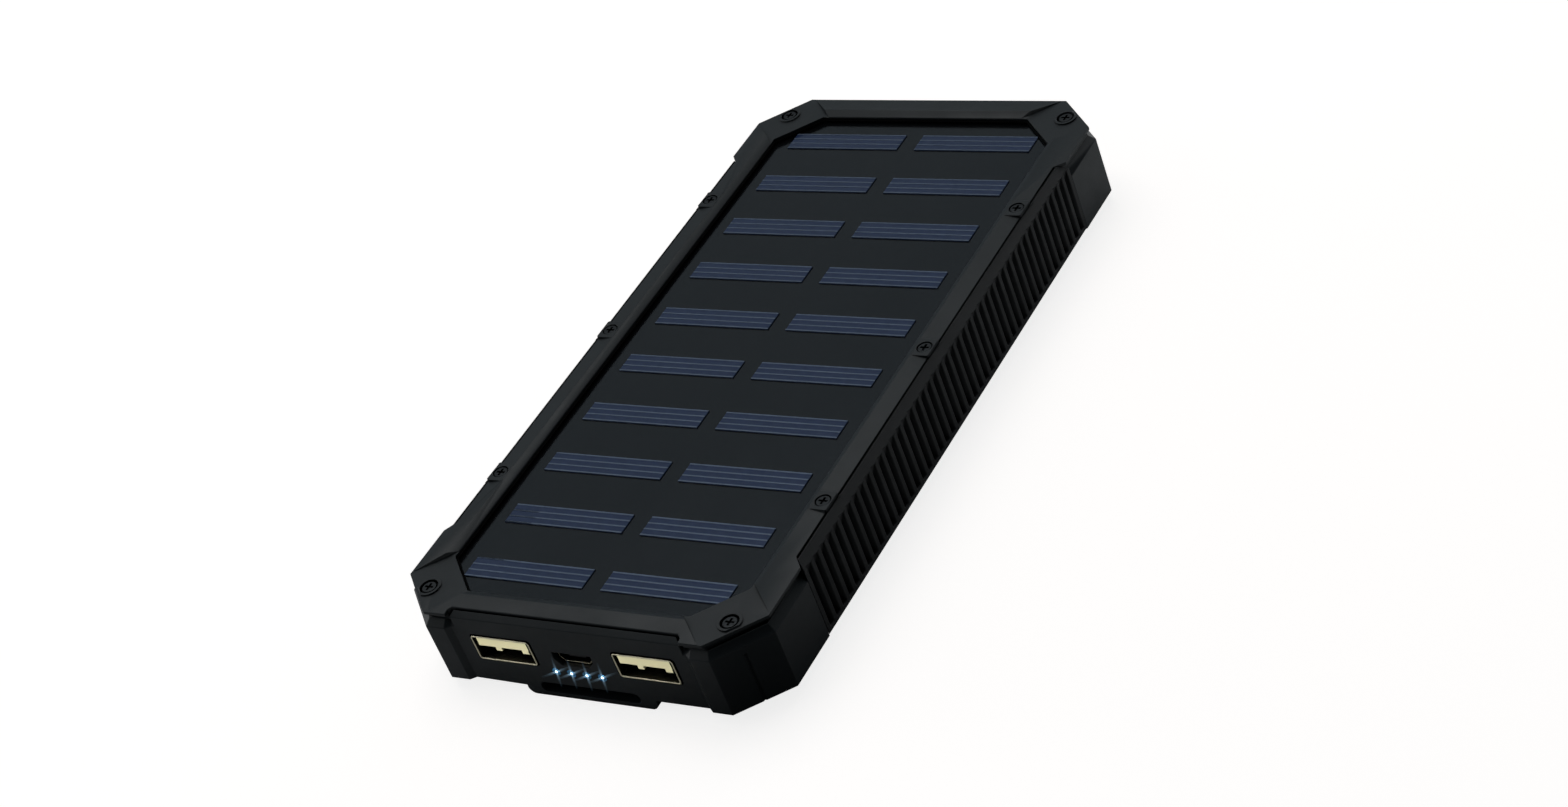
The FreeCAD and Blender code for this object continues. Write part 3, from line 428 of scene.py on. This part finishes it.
def floor():
    """Pale floor. What the glossy case mirrors of it is darker towards the camera."""
    bpy.ops.mesh.primitive_plane_add(size=6.0, location=(0, 0, 0))
    obj = bpy.context.object
    obj.name = "studio_floor"
    s = Shader("pale_floor", Roughness=0.9, Specular_IOR_Level=0.0, Emission_Color=WHITE)
    reach = s.add("ShaderNodeVectorMath", {0: s.place, 1: NEAR_CORNER}, operation="DISTANCE")
    corner = s.ramp((reach, "Value"), *CORNER_SPAN, CORNER_LIGHT, 1.0, "SMOOTHSTEP")
    split = s.add("ShaderNodeSeparateXYZ", {"Vector": s.place})
    along = s.ramp((split, "Y"), *FLOOR_SPAN, *FLOOR_LIGHT, "SMOOTHSTEP")
    mirrored = s.maths("MULTIPLY", corner, along)
    seen = s.seen()
    s.set(Emission_Strength=s.maths("MULTIPLY", seen, FLOOR_LIFT))
    obj.data.materials.append(s.finish(s.mix(seen, mirrored, FLOOR_SEEN)))


def world():
    """White seen behind the object; the light itself is a soft room, dim on the camera's side."""
    studio = bpy.data.worlds.new("studio")
    studio.use_nodes = True
    bpy.context.scene.world = studio
    t = Tree(studio.node_tree)
    coord = t.add("ShaderNodeTexCoord")
    facing = t.add("ShaderNodeVectorMath", {0: (coord, "Generated"), 1: CAMERA_SIDE},
                   operation="DOT_PRODUCT")
    room = t.ramp((facing, "Value"), *ROOM_SPAN, *ROOM_LIGHT, "SMOOTHSTEP")
    seen = t.seen()
    background = t.tree.nodes["Background"]
    t.feed(background, "Strength", t.ramp(seen, 0.0, 1.0, room, 1.0))
    t.feed(background, "Color", t.mix(seen, ROOM_TINT, WHITE))


def softbox(name, place, aim, size, power, only=(), spare=()):
    """Soft rectangular light. It can light only some nodes, or spare some and light all else."""
    data = bpy.data.lights.new(name, "AREA")
    data.shape = "RECTANGLE"
    data.size, data.size_y = size
    data.energy = power
    obj = bpy.data.objects.new(name, data)
    obj.location = place
    obj.rotation_euler = (Vector(aim) - Vector(place)).to_track_quat("-Z", "Y").to_euler()
    bpy.context.scene.collection.objects.link(obj)
    if only or spare:
        chosen = bpy.data.collections.new(name + "_chosen")
        for node in only or spare:
            chosen.objects.link(NODES[node])
        for entry in chosen.collection_objects:
            entry.light_linking.link_state = "INCLUDE" if only else "EXCLUDE"
        obj.light_linking.receiver_collection = chosen


def camera():
    data = bpy.data.cameras.new("camera")
    data.lens = CAMERA_LENS
    data.clip_start = 0.01
    obj = bpy.data.objects.new("camera", data)
    turn = Matrix.Rotation(CAMERA_HEADING, 4, "Z") @ Matrix.Rotation(CAMERA_TILT, 4, "X")
    obj.matrix_world = Matrix.Translation(CAMERA_SPOT) @ turn @ Matrix.Rotation(CAMERA_ROLL, 4, "Z")
    bpy.context.scene.collection.objects.link(obj)
    bpy.context.scene.camera = obj


def lens_stars():
    """Fine streaks round the lit indicator lights, as a camera lens makes them."""
    scene = bpy.context.scene
    scene.use_nodes = True
    tree = scene.node_tree
    tree.nodes.clear()
    layers = tree.nodes.new("CompositorNodeRLayers")
    glare = tree.nodes.new("CompositorNodeGlare")
    glare.glare_type = "STREAKS"
    glare.quality = "HIGH"
    settings = {"Threshold": 1.5, "Strength": 0.9, "Streaks": 4, "Streaks Angle": math.radians(20),
                "Iterations": 2, "Fade": 0.60, "Color Modulation": 0.0, "Clamp": False}
    for key, value in settings.items():
        glare.inputs[key].default_value = value
    out = tree.nodes.new("CompositorNodeComposite")
    tree.links.new(layers.outputs["Image"], glare.inputs["Image"])
    tree.links.new(glare.outputs["Image"], out.inputs["Image"])


floor()
world()
camera()
softbox("overhead", (-0.25, 0.25, 0.95), CENTRE, (0.8, 0.8), 3.0)
softbox("front_edge", (-0.45, -0.45, 0.50), CENTRE, (0.3, 0.3), 0.2)
softbox("left_side", (-0.85, -0.05, 0.14), CENTRE, (0.5, 0.2), 0.8, spare=PANEL)
softbox("back_side", (0.15, 0.90, 0.14), CENTRE, (0.5, 0.2), 1.2, spare=PANEL)
softbox("socket_light", (-0.25, -0.45, 0.12), PORT_END, (0.3, 0.3), 2.3, only=SOCKETS)
bpy.context.scene.view_settings.view_transform = "Standard"
lens_stars()
